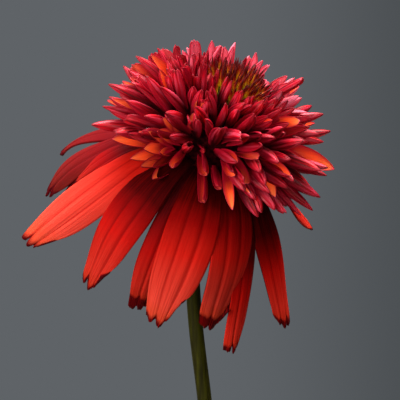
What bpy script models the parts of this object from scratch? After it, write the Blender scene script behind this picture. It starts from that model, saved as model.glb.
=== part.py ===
"""A double coneflower on its cut stem, standing in the water of a plain bud vase.

Metres, +Z up. The origin is the middle of the vase's foot, and -Y is the front. The flower head has a
frame of its own: its origin is the middle of the ring that the rays grow from, and +Z is its axis.
"""

import math
import random

import bmesh
import bpy
from mathutils import Matrix, Vector
from mathutils.geometry import interpolate_bezier

MM = 0.001
GOLDEN_ANGLE = math.pi * (3 - math.sqrt(5))
SEAT_GAP = 0.3 * MM

# Vase: turned, with a flat foot, a round belly, a narrow neck and a flared lip
VASE_HEIGHT = 105 * MM
VASE_WALL = 2.6 * MM
FLOOR_THICKNESS = 3.4 * MM
FOOT_RADIUS = 20 * MM
BELLY_RADIUS = 30 * MM
BELLY_HEIGHT = 38 * MM
NECK_RADIUS = 9.8 * MM
NECK_HEIGHT = 89 * MM
LIP_RADIUS = 13 * MM
LIP_CROWN = 0.6 * MM
FOOT_CHAMFER = 0.8 * MM
# Each stretch of its outer side, foot to belly, belly to neck and neck to lip: how far the curve keeps
# its first and last direction, as height, and how far that direction leans out
OUTLINE_RISES = ((9 * MM, 14 * MM), (16 * MM, 19 * MM), (6 * MM, 4 * MM))
OUTLINE_LEANS = ((7 * MM, 0), (0, 0), (0, -2 * MM))
OUTLINE_STEPS = 4
# The inside follows the outside above this height, and rounds into the floor below it
INNER_CURVE_HEIGHT = 9 * MM
FLOOR_ROUNDING = 2 * MM
VASE_SIDES = 28
WATER_LEVEL = 62 * MM
WATER_CUT_MARGIN = 20 * MM

# Flower head: where it is, how far its axis leans from upright, and the compass way it leans
HEAD_CENTRE = Vector((-5.3, -5.0, 177.0)) * MM
HEAD_LEAN = math.radians(25.0)
HEAD_LEAN_WAY = math.radians(-37.2)

# Stem: the points that its centre line passes, top to bottom, and its thickness
STEM_RADIUS = 1.8 * MM
STEM_TOP_RADIUS = 2.5 * MM
STEM_ROUTE = [
    HEAD_CENTRE + Vector((-1.3, 1.0, -3.6)) * MM,
    HEAD_CENTRE + Vector((-3.0, 2.3, -8.5)) * MM,
    HEAD_CENTRE + Vector((-4.3, 4.4, -18.0)) * MM,
    HEAD_CENTRE + Vector((-4.6, 5.2, -29.5)) * MM,
    HEAD_CENTRE + Vector((-3.6, 5.3, -47.0)) * MM,
    HEAD_CENTRE + Vector((-1.5, 5.2, -65.3)) * MM,
    Vector((-4.2, 0.2, 88.0)) * MM,
    Vector((0.5, 0.6, 45.0)) * MM,
    Vector((5.0, 1.0, 3.95)) * MM,
]
STEM_FLARE_STEPS = 6
STEM_STEPS = 3
WATER_CLEARANCE = 0.35 * MM

# Receptacle, the green swelling under the head, and the bracts that hang from it
RECEPTACLE_RADIUS = 7.4 * MM
RECEPTACLE_TOP = -3.5 * MM
RECEPTACLE_DEPTH = 6.5 * MM
RECEPTACLE_RIM = 1.0 * MM
RECEPTACLE_WAIST = 5.3 * MM
RECEPTACLE_SIDES = 18
BRACT_COUNT = 20
BRACT_LENGTH = 8.0 * MM
BRACT_WIDTH = 2.6 * MM
BRACT_THICKNESS = 0.9 * MM
BRACT_WIDEST = 0.45
BRACT_JITTER = 0.07
# Each row of bracts: angle from the head's axis, distance from the axis and height
BRACT_ROWS = (
    (math.radians(128), 5.0 * MM, -5.7 * MM),
    (math.radians(146), 3.8 * MM, -7.1 * MM),
)

# Rays: the long petals, in an upper and a lower layer, all fixed to one collar
COLLAR_RADIUS = 8.6 * MM
COLLAR_TOP = -0.3 * MM
COLLAR_THICKNESS = 2.8 * MM
RAY_START = 6.6 * MM
RAY_LAYER_HEIGHTS = (-0.95 * MM, -2.05 * MM)
RAY_BEND_RADII = (20 * MM, 16.5 * MM)
RAY_FIRST_DROOP = math.radians(48)
RAY_SETTLED = 0.62
RAY_THICKNESS = 0.8 * MM
RAY_SEGMENTS = (6, 7)
RAY_SLICES = 12
# Across a ray: its narrow root, its widest place along it, how far its edges drop, its ridges and teeth
RAY_ROOT_SHARE = 0.30
RAY_WIDEST = 0.6
RAY_OPEN = 0.4
RAY_CUP = 0.8 * MM
RAY_FURROW = 0.45 * MM
RAY_TOOTH = 3.2 * MM
RAY_NOTCH = 1.4 * MM
RAY_TIP_SPREAD = 1.25
COLLAR_SIDES = 24
# Each ray: compass way and final droop in degrees, length and width in mm, layer, twist in degrees
RAYS = (
    (36, 32, 50, 10.0, 0, -10),
    (60, 50, 46, 10.0, 1, 0),
    (84, 42, 48, 10.5, 0, 0),
    (108, 52, 46, 10.0, 1, 0),
    (132, 41, 50, 9.5, 0, 22),
    (151, 59, 46, 9.5, 1, 34),
    (176, 74, 41, 9.5, 1, 24),
    (203, 52, 48, 11.0, 0, 8),
    (231, 84, 46, 11.0, 0, 0),
    (252, 92, 46, 10.0, 1, 0),
    (268, 80, 47, 11.5, 0, 0),
    (294, 93, 46, 12.0, 0, 0),
    (310, 84, 50, 10.0, 1, 0),
    (332, 70, 46, 9.5, 0, 0),
)

# Floret dome: the half-ellipsoid core, flat on top for the crown, and the florets that it carries
CORE_RADIUS = 13.2 * MM
CORE_HALF_HEIGHT = 12.0 * MM
CORE_CENTRE = 5.0 * MM
CORE_FLAT_TOP = 15.0 * MM
CORE_SIDES = 22
CORE_STEPS = 8
FLORET_COUNT = 216
FLORET_SPAN = (math.radians(39), math.radians(112))
FLORET_SLOPES = (math.radians(16), math.radians(110))
FLORET_STEEPEST = math.radians(115)
FLORET_LENGTHS = (9.0 * MM, 15.0 * MM)
FLORET_WIDTHS = (2.3 * MM, 3.5 * MM)
FLORET_DEPTH_SHARE = 0.42
FLORET_THICKNESS = 0.85 * MM
FLORET_RINGS = (0.42, 0.76)
FLORET_RING_WIDTHS = (0.5, 0.9, 1.0)
FLORET_SUNK = 1.7 * MM
FLORET_GROWN = 0.62
FLORET_CURL = 0.35
FLORET_JITTER = 0.1
FLORET_SWING = 0.12
# Parting: a dark gap at the front of the dome, where the florets lean away from each other
PARTING_WAY = math.radians(254)
PARTING_ANGLE = math.radians(85)
PARTING_REACH = (math.radians(24), math.radians(18))
PARTING_PUSH = math.radians(24)
PARTING_BARE = 0.86
# Sag: on this side of the head the lower florets are longer and hang further down
SAG_WAY = math.radians(322)
SAG = math.radians(10)
SAG_GROWTH = 0.07

# Crown: a low cap on the core, with the pointed bracts of the unopened florets
CROWN_RADIUS = 7.0 * MM
CROWN_RISE = 2.3 * MM
CROWN_RIM = 0.5 * MM
CROWN_SIDES = 16
CROWN_STEPS = 4
SPIKE_COUNT = 74
SPIKE_LENGTH = 5.0 * MM
SPIKE_RADIUS = 0.62 * MM
SPIKE_SUNK = 0.8 * MM
SPIKE_LEAN = math.radians(16)
SPIKE_JITTER = 0.05


def material(name, colour, roughness):
    """A plain surface colour for one sub-part."""
    surface = bpy.data.materials.new(name)
    surface.use_nodes = True
    shader = surface.node_tree.nodes["Principled BSDF"]
    shader.inputs["Base Color"].default_value = (*colour, 1)
    shader.inputs["Roughness"].default_value = roughness
    shader.inputs["Metallic"].default_value = 0
    return surface


def new_object(name, mesh, collection, parent=None):
    """An object of a mesh or curve, in a collection and under its parent."""
    result = bpy.data.objects.new(name, mesh)
    result.parent = parent
    collection.objects.link(result)
    return result


def mesh_from(shape, name):
    """A mesh of a closed bmesh, whose normals point out."""
    bmesh.ops.recalc_face_normals(shape, faces=shape.faces)
    if shape.calc_volume(signed=True) < 0:
        bmesh.ops.reverse_faces(shape, faces=shape.faces)
    mesh = bpy.data.meshes.new(name)
    shape.to_mesh(mesh)
    shape.free()
    return mesh


def turned(name, profile, sides, collection, parent=None):
    """A solid of revolution: the profile runs down its outer side, and is spun about Z."""
    mesh = bpy.data.meshes.new(name)
    edges = [(i, i + 1) for i in range(len(profile) - 1)]
    mesh.from_pydata([(radius, 0, height) for radius, height in profile], edges, [])
    result = new_object(name, mesh, collection, parent)
    spin = result.modifiers.new("Turn", "SCREW")
    spin.steps = sides
    spin.render_steps = sides
    spin.use_merge_vertices = True
    spin.merge_threshold = 0.00001
    return result


def apply_modifiers(target):
    """Turn an object's evaluated shape into its mesh."""
    scene_graph = bpy.context.evaluated_depsgraph_get()
    mesh = bpy.data.meshes.new_from_object(target.evaluated_get(scene_graph))
    target.modifiers.clear()
    target.data = mesh


def fuse(target, pieces):
    """Join all the objects of a collection into the target, and remove them."""
    union = target.modifiers.new("Union", "BOOLEAN")
    union.operation = "UNION"
    union.operand_type = "COLLECTION"
    union.collection = pieces
    union.solver = "MANIFOLD"
    apply_modifiers(target)
    for piece in list(pieces.objects):
        bpy.data.objects.remove(piece)
    bpy.data.collections.remove(pieces)


def finish(target, surface, sharp_degrees):
    """Give the object its material and smooth shading."""
    target.data.materials.clear()
    target.data.materials.append(surface)
    target.data.shade_smooth()
    target.data.set_sharp_from_angle(angle=math.radians(sharp_degrees))


def new_collection(name):
    """A collection linked to the scene."""
    collection = bpy.data.collections.new(name)
    bpy.context.scene.collection.children.link(collection)
    return collection


def head_frame():
    """The flower head's place: its axis up, and its X as near to the world's X as that allows."""
    axis = Vector((
        math.sin(HEAD_LEAN) * math.cos(HEAD_LEAN_WAY),
        math.sin(HEAD_LEAN) * math.sin(HEAD_LEAN_WAY),
        math.cos(HEAD_LEAN),
    ))
    right = (Vector((1, 0, 0)) - axis * axis.x).normalized()
    turn = Matrix((right, axis.cross(right), axis)).transposed()
    return Matrix.Translation(HEAD_CENTRE) @ turn.to_4x4()


def between(ends, share):
    """The value at a share of the way between two ends."""
    return ends[0] + (ends[1] - ends[0]) * share


def smooth_route(points, steps):
    """Points along a smooth curve that passes through the given ones."""
    ends = [points[0] * 2 - points[1]] + points + [points[-1] * 2 - points[-2]]
    route = []
    for before, start, end, after in zip(ends, ends[1:], ends[2:], ends[3:]):
        handle_out = start + (end - before) / 6
        handle_in = end - (after - start) / 6
        route += interpolate_bezier(start, handle_out, handle_in, end, steps + 1)[:-1]
    return route + [points[-1]]


def vase_outline():
    """Radius and height up the vase's outer side, from the foot to the lip."""
    knots = (
        (FOOT_RADIUS, 0),
        (BELLY_RADIUS, BELLY_HEIGHT),
        (NECK_RADIUS, NECK_HEIGHT),
        (LIP_RADIUS, VASE_HEIGHT),
    )
    outline = []
    for low, high, rise, lean in zip(knots, knots[1:], OUTLINE_RISES, OUTLINE_LEANS):
        points = interpolate_bezier(
            Vector((low[0], low[1], 0)),
            Vector((low[0] + lean[0], low[1] + rise[0], 0)),
            Vector((high[0] + lean[1], high[1] - rise[1], 0)),
            Vector((high[0], high[1], 0)),
            OUTLINE_STEPS + 1,
        )
        outline += [(point.x, point.y) for point in points[:-1]]
    return outline + [knots[-1]]


def inside_radius(outline, height):
    """The radius of the vase's inner wall at a height."""
    for low, high in zip(outline, outline[1:]):
        if low[1] <= height <= high[1]:
            share = (height - low[1]) / (high[1] - low[1])
            return low[0] + (high[0] - low[0]) * share - VASE_WALL
    return outline[-1][0] - VASE_WALL


def build_vase(model):
    """The vase: one turned shell with a flat foot and a rounded lip."""
    outline = vase_outline()
    heights = [height for _, height in outline if height > INNER_CURVE_HEIGHT]
    inner = [(inside_radius(outline, height), height) for height in heights]
    floor_edge = inside_radius(outline, FLOOR_THICKNESS) - FLOOR_ROUNDING
    lip_middle = (LIP_RADIUS - VASE_WALL / 2, VASE_HEIGHT + LIP_CROWN)
    foot = [(FOOT_RADIUS, FOOT_CHAMFER), (FOOT_RADIUS - FOOT_CHAMFER, 0), (0, 0)]
    profile = [(0, FLOOR_THICKNESS), (floor_edge, FLOOR_THICKNESS)] + inner + [lip_middle]
    profile += outline[:0:-1] + foot
    vase = turned("vase", profile, VASE_SIDES, model)
    apply_modifiers(vase)
    finish(vase, material("glazed stoneware", (0.42, 0.41, 0.37), 0.35), 40)


def build_water(model, stem_route):
    """The water: it fills the vase's lower part, with a plain hole where the stem stands."""
    outline = vase_outline()
    bottom = FLOOR_THICKNESS + SEAT_GAP
    heights = [height for _, height in outline if INNER_CURVE_HEIGHT < height < WATER_LEVEL]
    heights.append(WATER_LEVEL)
    side = [(inside_radius(outline, height) - SEAT_GAP, height) for height in heights]
    floor_edge = inside_radius(outline, FLOOR_THICKNESS) - FLOOR_ROUNDING - SEAT_GAP
    profile = [(0, WATER_LEVEL)] + side[::-1] + [(floor_edge, bottom), (0, bottom)]
    water = turned("water", profile, VASE_SIDES, model)

    cutters = new_collection("cutters")
    below = stem_route[-1] * 2 - stem_route[-2]
    hole_route = [point for point in stem_route if point.z < WATER_LEVEL + WATER_CUT_MARGIN] + [below]
    hole = tube("stem hole", hole_route, [STEM_RADIUS + WATER_CLEARANCE] * len(hole_route), cutters)
    hole.hide_render = True
    hole.display_type = "WIRE"
    cut = water.modifiers.new("Stem hole", "BOOLEAN")
    cut.operation = "DIFFERENCE"
    cut.object = hole
    apply_modifiers(water)
    bpy.data.objects.remove(hole)
    bpy.data.collections.remove(cutters)
    finish(water, material("water", (0.80, 0.87, 0.88), 0.05), 40)


def tube(name, route, radii, collection):
    """A round closed tube along a route, as a mesh."""
    curve = bpy.data.curves.new(name, "CURVE")
    curve.dimensions = "3D"
    curve.bevel_depth = 1
    curve.bevel_resolution = 2
    curve.use_fill_caps = True
    spline = curve.splines.new("POLY")
    spline.points.add(len(route) - 1)
    for point, place, radius in zip(spline.points, route, radii):
        point.co = (*place, 1)
        point.radius = radius
    rope = new_object(name, curve, collection)
    scene_graph = bpy.context.evaluated_depsgraph_get()
    mesh = bpy.data.meshes.new_from_object(rope.evaluated_get(scene_graph))
    bpy.data.objects.remove(rope)
    shape = bmesh.new()
    shape.from_mesh(mesh)
    bmesh.ops.remove_doubles(shape, verts=shape.verts, dist=0.00001)
    shape.to_mesh(mesh)
    shape.free()
    return new_object(name, mesh, collection)


def leaf_cone(length, width, thickness, rings, ring_widths):
    """A pointed four-sided blade along +Z, whose back faces +X: two edges, a back and a front."""
    shape = bmesh.new()
    bmesh.ops.create_cone(shape, cap_ends=True, segments=4, radius1=1, radius2=0, depth=1,
                          matrix=Matrix.Translation((0, 0, 0.5)))
    for ring in rings:
        bmesh.ops.bisect_plane(shape, geom=shape.verts[:] + shape.edges[:] + shape.faces[:],
                               plane_co=(0, 0, ring), plane_no=(0, 0, 1))
    widths = dict(zip((0,) + rings, ring_widths))
    for vert in shape.verts:
        share = vert.co.z
        nearest = min(widths, key=lambda ring: abs(ring - share))
        full = 0 if share > 0.99 else widths[nearest]
        vert.co.x = (0 if abs(vert.co.x) < 1e-6 else math.copysign(thickness / 2, vert.co.x)) * full
        vert.co.y = (0 if abs(vert.co.y) < 1e-6 else math.copysign(width / 2, vert.co.y)) * full
        vert.co.z = share * length
    return shape


def bract_places():
    """Where each bract sits under the head, and its size: the lower row hangs more steeply."""
    draw = random.Random(11)
    for index in range(BRACT_COUNT):
        slope, radius, height = BRACT_ROWS[index % len(BRACT_ROWS)]
        way = 2 * math.pi * index / BRACT_COUNT
        turn = Matrix.Rotation(way, 4, "Z") @ Matrix.Translation((radius, 0, height))
        lean = Matrix.Rotation(slope + draw.uniform(-BRACT_JITTER, BRACT_JITTER), 4, "Y")
        yield turn @ lean, draw.uniform(0.85, 1.1)


def build_stem(model, head, stem_route):
    """The stem: a tube that swells into the receptacle, with the bracts fused to it."""
    flare = [between((STEM_TOP_RADIUS, STEM_RADIUS), min(1, step / STEM_FLARE_STEPS))
             for step in range(len(stem_route))]
    stem = tube("stem", stem_route, flare, model)
    grown = new_collection("receptacle and bracts")
    top = RECEPTACLE_TOP
    profile = [
        (0, top),
        (RECEPTACLE_RADIUS, top),
        (RECEPTACLE_RADIUS, top - RECEPTACLE_RIM),
        (RECEPTACLE_WAIST, top - RECEPTACLE_DEPTH / 2),
        (STEM_TOP_RADIUS * 1.15, top - RECEPTACLE_DEPTH),
        (0, top - RECEPTACLE_DEPTH),
    ]
    receptacle = turned("receptacle", profile, RECEPTACLE_SIDES, grown, head)
    apply_modifiers(receptacle)
    for place, size in bract_places():
        blade = leaf_cone(BRACT_LENGTH * size, BRACT_WIDTH, BRACT_THICKNESS, (BRACT_WIDEST,), (0.9, 1.0))
        blade.transform(place)
        new_object("bract", mesh_from(blade, "bract"), grown, head)
    bpy.context.view_layer.update()
    fuse(stem, grown)
    finish(stem, material("green stem", (0.075, 0.095, 0.012), 0.55), 50)


def ray_spine(length, final_droop, bend_radius, height, steps):
    """Outward distance, height and droop at equal steps along a ray's middle line."""
    spine = []
    outward = RAY_START
    first_droop = min(RAY_FIRST_DROOP, final_droop)
    arc = first_droop * bend_radius
    stride = length / (steps * RAY_SLICES)
    for step in range(steps * RAY_SLICES + 1):
        along = stride * step
        settled = min(1, max(0, (along - arc) / (length - arc)) / RAY_SETTLED)
        droop = between((first_droop * min(1, along / arc), final_droop), settled)
        if step % RAY_SLICES == 0:
            spine.append((outward, height, droop))
        outward += math.cos(droop) * stride
        height -= math.sin(droop) * stride
    return spine


def ray(way, final_droop, length, width, layer, twist):
    """One ray: a grid bent along its spine, with three ridges and a notched tip."""
    across, along = RAY_SEGMENTS
    shape = bmesh.new()
    bmesh.ops.create_grid(shape, x_segments=across, y_segments=along, size=0.5)
    spine = ray_spine(length * MM, math.radians(final_droop), RAY_BEND_RADII[layer],
                      RAY_LAYER_HEIGHTS[layer], along)
    widest_power = math.log(0.5) / math.log(RAY_WIDEST)
    for vert in shape.verts:
        side = vert.co.x * 2
        row = round((vert.co.y + 0.5) * along)
        share = row / along
        outward, height, droop = spine[row]
        swell = math.sin(math.pi * share ** widest_power)
        half = width * MM / 2 * between((RAY_ROOT_SHARE, 1), swell)
        opened = min(1, share / RAY_OPEN)
        lift = -RAY_CUP * side * side * opened
        lift += RAY_FURROW * math.cos(math.pi * 3 * side) * opened * (1 - share * 0.4)
        reach = 0
        if row == along:
            half *= RAY_TIP_SPREAD
            between_teeth = round((side + 1) / 2 * across) % 2 == 0
            reach = -RAY_TOOTH * abs(side) ** 2.5 - (RAY_NOTCH if between_teeth else 0)
        turn = math.radians(twist) * share
        aside = side * half * math.cos(turn) + lift * math.sin(turn)
        lift = lift * math.cos(turn) - side * half * math.sin(turn)
        vert.co = (
            outward + math.cos(droop) * reach + math.sin(droop) * lift,
            aside,
            height - math.sin(droop) * reach + math.cos(droop) * lift,
        )
    bmesh.ops.triangulate(shape, faces=shape.faces)
    bmesh.ops.recalc_face_normals(shape, faces=shape.faces)
    bmesh.ops.solidify(shape, geom=shape.faces[:], thickness=RAY_THICKNESS)
    shape.transform(Matrix.Rotation(math.radians(way), 4, "Z"))
    return shape


def build_rays(model, head):
    """The rays, fused to the collar that they grow from."""
    bottom = COLLAR_TOP - COLLAR_THICKNESS
    profile = [(0, COLLAR_TOP), (COLLAR_RADIUS, COLLAR_TOP), (COLLAR_RADIUS, bottom), (0, bottom)]
    rays = turned("rays", profile, COLLAR_SIDES, model, head)
    apply_modifiers(rays)
    grown = new_collection("single rays")
    for row in RAYS:
        new_object("ray", mesh_from(ray(*row), "ray"), grown, head)
    bpy.context.view_layer.update()
    fuse(rays, grown)
    finish(rays, material("red ray petals", (0.62, 0.030, 0.018), 0.45), 60)


def core_point(angle):
    """Radius and height on the core's surface, at an angle from the head's axis."""
    return CORE_RADIUS * math.sin(angle), CORE_CENTRE + CORE_HALF_HEIGHT * math.cos(angle)


def parting_share(way, angle):
    """How near a floret grows to the parting, from 0 far off to 1 in its middle."""
    aside = (way - PARTING_WAY + math.pi) % (2 * math.pi) - math.pi
    return math.exp(-(aside / PARTING_REACH[0]) ** 2 - ((angle - PARTING_ANGLE) / PARTING_REACH[1]) ** 2)


def floret_places():
    """Where each floret grows, and its size: a spiral at the golden angle over the core."""
    draw = random.Random(5)
    top, low = (math.cos(angle) for angle in FLORET_SPAN)
    for index in range(FLORET_COUNT):
        angle = math.acos(top + (low - top) * (index + 0.5) / FLORET_COUNT)
        way = index * GOLDEN_ANGLE % (2 * math.pi)
        share = (angle - FLORET_SPAN[0]) / (FLORET_SPAN[1] - FLORET_SPAN[0])
        parted = parting_share(way, angle)
        sag = share * math.cos(way - SAG_WAY)
        slope = between(FLORET_SLOPES, share) + SAG * sag
        slope += math.copysign(PARTING_PUSH * parted, angle - PARTING_ANGLE)
        slope += draw.uniform(-FLORET_JITTER, FLORET_JITTER)
        grown = min(1, share / FLORET_GROWN)
        length = between(FLORET_LENGTHS, grown) * (1 + SAG_GROWTH * sag) * draw.uniform(0.9, 1.08)
        width = between(FLORET_WIDTHS, grown) * draw.uniform(0.9, 1.1)
        radius, height = core_point(angle)
        place = Matrix.Rotation(way, 4, "Z") @ Matrix.Translation((radius, 0, height))
        place = place @ Matrix.Rotation(min(slope, FLORET_STEEPEST), 4, "Y")
        place = place @ Matrix.Rotation(draw.uniform(-FLORET_SWING, FLORET_SWING), 4, "X")
        place = place @ Matrix.Translation((0, 0, -FLORET_SUNK))
        curl = draw.uniform(0, FLORET_CURL)
        if parted < PARTING_BARE:
            yield place, length + FLORET_SUNK, width, curl


def floret(length, width, curl):
    """One floret: a canoe-shaped blade, hollow in front, that bends back towards its tip."""
    shape = leaf_cone(length, width, 1, FLORET_RINGS, FLORET_RING_WIDTHS)
    for vert in shape.verts:
        share = vert.co.z / length
        depth = width * FLORET_DEPTH_SHARE * min(1, abs(vert.co.x) * 2)
        if vert.co.x < 0:
            depth -= FLORET_THICKNESS
        vert.co.x = (depth if abs(vert.co.x) > 1e-6 else 0) + length * curl * share * share / 2
    return shape


def build_florets(model, head):
    """The dome of florets, fused to their core."""
    flat_angle = math.acos((CORE_FLAT_TOP - CORE_CENTRE) / CORE_HALF_HEIGHT)
    base_angle = math.acos(-CORE_CENTRE / CORE_HALF_HEIGHT)
    arc = [core_point(between((flat_angle, base_angle), step / CORE_STEPS)) for step in range(CORE_STEPS + 1)]
    florets = turned("florets", [(0, CORE_FLAT_TOP)] + arc + [(0, 0)], CORE_SIDES, model, head)
    apply_modifiers(florets)
    grown = new_collection("single florets")
    for place, length, width, curl in floret_places():
        blade = floret(length, width, curl)
        blade.transform(place)
        new_object("floret", mesh_from(blade, "floret"), grown, head)
    bpy.context.view_layer.update()
    fuse(florets, grown)
    finish(florets, material("crimson florets", (0.45, 0.020, 0.045), 0.4), 50)


def build_crown(model, head):
    """The crown: a low cap with its spikes fused to it."""
    base = CORE_FLAT_TOP + SEAT_GAP
    skirt = base + CROWN_RIM
    arc = []
    for step in range(CROWN_STEPS + 1):
        angle = step / CROWN_STEPS * math.pi / 2
        arc.append((CROWN_RADIUS * math.sin(angle), skirt + CROWN_RISE * math.cos(angle)))
    crown = turned("crown", arc + [(CROWN_RADIUS, base), (0, base)], CROWN_SIDES, model, head)
    apply_modifiers(crown)
    grown = new_collection("single spikes")
    draw = random.Random(3)
    for index in range(SPIKE_COUNT):
        share = math.sqrt((index + 0.5) / SPIKE_COUNT)
        radius = (CROWN_RADIUS - SPIKE_RADIUS) * share
        height = skirt + CROWN_RISE * math.sqrt(1 - (radius / CROWN_RADIUS) ** 2) - SPIKE_SUNK
        shape = bmesh.new()
        length = SPIKE_LENGTH * draw.uniform(0.85, 1.1)
        bmesh.ops.create_cone(shape, cap_ends=True, segments=3, radius1=SPIKE_RADIUS, radius2=0,
                              depth=length, matrix=Matrix.Translation((0, 0, length / 2)))
        place = Matrix.Rotation(index * GOLDEN_ANGLE, 4, "Z") @ Matrix.Translation((radius, 0, height))
        lean = SPIKE_LEAN * share ** 2 + draw.uniform(-SPIKE_JITTER, SPIKE_JITTER)
        place = place @ Matrix.Rotation(lean, 4, "Y")
        shape.transform(place)
        new_object("spike", mesh_from(shape, "spike"), grown, head)
    bpy.context.view_layer.update()
    fuse(crown, grown)
    finish(crown, material("olive and maroon spikes", (0.16, 0.07, 0.01), 0.5), 50)


def main():
    for old in list(bpy.data.objects):
        bpy.data.objects.remove(old)
    model = new_collection("coneflower in vase")
    head = new_object("flower_head", None, model)
    head.matrix_world = head_frame()
    bpy.context.view_layer.update()
    stem_route = smooth_route(STEM_ROUTE, STEM_STEPS)
    build_vase(model)
    build_water(model, stem_route)
    build_stem(model, head, stem_route)
    build_rays(model, head)
    build_florets(model, head)
    build_crown(model, head)


main()
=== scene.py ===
import random
from functools import partial
from math import acos, copysign, cos, exp, pi, radians, sin, sqrt

import bmesh
import bpy
from mathutils import Matrix, Vector
from mathutils.geometry import interpolate_bezier


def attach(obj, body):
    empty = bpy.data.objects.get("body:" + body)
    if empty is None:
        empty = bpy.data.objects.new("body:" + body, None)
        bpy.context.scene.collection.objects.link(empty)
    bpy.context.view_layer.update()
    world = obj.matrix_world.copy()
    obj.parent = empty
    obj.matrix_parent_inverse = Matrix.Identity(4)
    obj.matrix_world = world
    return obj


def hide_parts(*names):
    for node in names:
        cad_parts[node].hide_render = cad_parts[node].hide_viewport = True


# A double coneflower on its cut stem, standing in the water of a small bud vase.
# Metres, +Z up. The origin is the middle of the vase's foot, and -Y is the front.
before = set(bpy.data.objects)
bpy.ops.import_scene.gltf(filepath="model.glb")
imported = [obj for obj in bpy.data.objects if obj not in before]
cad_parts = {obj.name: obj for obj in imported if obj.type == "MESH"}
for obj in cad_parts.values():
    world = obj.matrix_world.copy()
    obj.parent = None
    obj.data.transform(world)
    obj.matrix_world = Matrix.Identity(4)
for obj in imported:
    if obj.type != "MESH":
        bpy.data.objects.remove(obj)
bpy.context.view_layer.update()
MM = 0.001

# ---- Vase
# A small bud vase, thrown in stoneware and dipped in a satin oatmeal glaze down to a bare clay foot.
# One turned wall makes the foot, the belly, the neck and the flared lip. It stands flat on its foot.
VASE_HEIGHT = 105 * MM
VASE_WALL = 2.6 * MM
FLOOR_THICKNESS = 3.4 * MM
FOOT_RADIUS = 20 * MM
BELLY_RADIUS = 30 * MM
BELLY_HEIGHT = 38 * MM
NECK_RADIUS = 9.8 * MM
NECK_HEIGHT = 89 * MM
LIP_RADIUS = 13 * MM
LIP_CROWN = 0.6 * MM
FOOT_CHAMFER = 0.8 * MM
# How far the curve handles of the outline's three runs rise and lean from their ends
OUTLINE_RISES = ((9 * MM, 14 * MM), (16 * MM, 19 * MM), (6 * MM, 4 * MM))
OUTLINE_LEANS = ((7 * MM, 0), (0, 0), (0, -2 * MM))
OUTLINE_STEPS = 14
INNER_CURVE_HEIGHT = 9 * MM
FLOOR_ROUNDING = 4 * MM
FLOOR_EASE = 0.3
LIP_STEPS = 8
VASE_SIDES = 96
VASE_CREASE = radians(38)
SEAM_GAP = 0.01 * MM


def vase_outline():
    """Radius and height up the vase's outer side, from the foot to the lip."""
    knots = (
        (FOOT_RADIUS, FOOT_CHAMFER),
        (BELLY_RADIUS, BELLY_HEIGHT),
        (NECK_RADIUS, NECK_HEIGHT),
        (LIP_RADIUS, VASE_HEIGHT),
    )
    outline = []
    for low, high, rise, lean in zip(knots, knots[1:], OUTLINE_RISES, OUTLINE_LEANS):
        outline += interpolate_bezier(
            Vector((low[0], low[1], 0)),
            Vector((low[0] + lean[0], low[1] + rise[0], 0)),
            Vector((high[0] + lean[1], high[1] - rise[1], 0)),
            Vector((high[0], high[1], 0)),
            OUTLINE_STEPS + 1,
        )[:-1]
    return [(point.x, point.y) for point in outline] + [knots[-1]]


def inside_radius(outline, height):
    """The radius of the vase's inner wall at a height."""
    for low, high in zip(outline, outline[1:]):
        if low[1] <= height <= high[1]:
            share = (height - low[1]) / (high[1] - low[1])
            return low[0] + (high[0] - low[0]) * share - VASE_WALL
    return outline[0][0] - VASE_WALL


def spun(profile, sides):
    """A closed solid of revolution about Z, from a profile that starts and ends on the axis."""
    shape = bmesh.new()
    verts = [shape.verts.new((radius, 0, height)) for radius, height in profile]
    edges = [shape.edges.new(pair) for pair in zip(verts, verts[1:])]
    bmesh.ops.spin(shape, geom=verts + edges, cent=(0, 0, 0), axis=(0, 0, 1), dvec=(0, 0, 0),
                   angle=2 * pi, steps=sides, use_merge=True)
    bmesh.ops.remove_doubles(shape, verts=shape.verts, dist=SEAM_GAP)
    bmesh.ops.recalc_face_normals(shape, faces=shape.faces)
    return shape


def new_object(name, data):
    """An object of a mesh, a curve, a light or a camera, in the scene."""
    item = bpy.data.objects.new(name, data)
    bpy.context.scene.collection.objects.link(item)
    return item


def piece_of(shape, name, *surfaces):
    """A smooth object of a finished mesh, with its materials."""
    mesh = bpy.data.meshes.new(name)
    shape.to_mesh(mesh)
    shape.free()
    for surface in surfaces:
        mesh.materials.append(surface)
    mesh.shade_smooth()
    return new_object(name, mesh)


def linear(code):
    """An sRGB hex colour as linear red, green, blue and alpha."""
    channels = [int(code[i:i + 2], 16) / 255 for i in (1, 3, 5)]
    return [c / 12.92 if c < 0.04045 else ((c + 0.055) / 1.055) ** 2.4 for c in channels] + [1]


def set_node(owner, label, settings, links):
    """Set up a node that a material has. A colour is hex, a ramp's stops are (place, hex), and a link
    comes from an output or from a node, which then gives its first output in use."""
    item = owner.node_tree.nodes[label]
    for name, value in settings.items():
        if name == "stops":
            ramp = item.color_ramp.elements
            while len(ramp) < len(value):
                ramp.new(0.5)
            for stop, (place, code) in zip(ramp, value):
                stop.position = place
                stop.color = linear(code)
        elif isinstance(name, int) or name in item.inputs:
            item.inputs[name].default_value = linear(value) if isinstance(value, str) else value
        else:
            setattr(item, name, value)
    for socket, source in links.items():
        if isinstance(source, bpy.types.Node):
            source = next(output for output in source.outputs if output.enabled)
        owner.node_tree.links.new(source, item.inputs[socket])
    return item


def add_node(owner, kind, settings=None, links=None):
    """Add a node to a material, with its settings and with what feeds its inputs."""
    item = owner.node_tree.nodes.new("ShaderNode" + kind)
    return set_node(owner, item.name, settings or {}, links or {})


def new_surface(name):
    """A material, the function that adds a node to it, and the one that sets its Principled shader."""
    surface = bpy.data.materials.new(name)
    surface.use_nodes = True
    return surface, partial(add_node, surface), partial(set_node, surface, "Principled BSDF")


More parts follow.
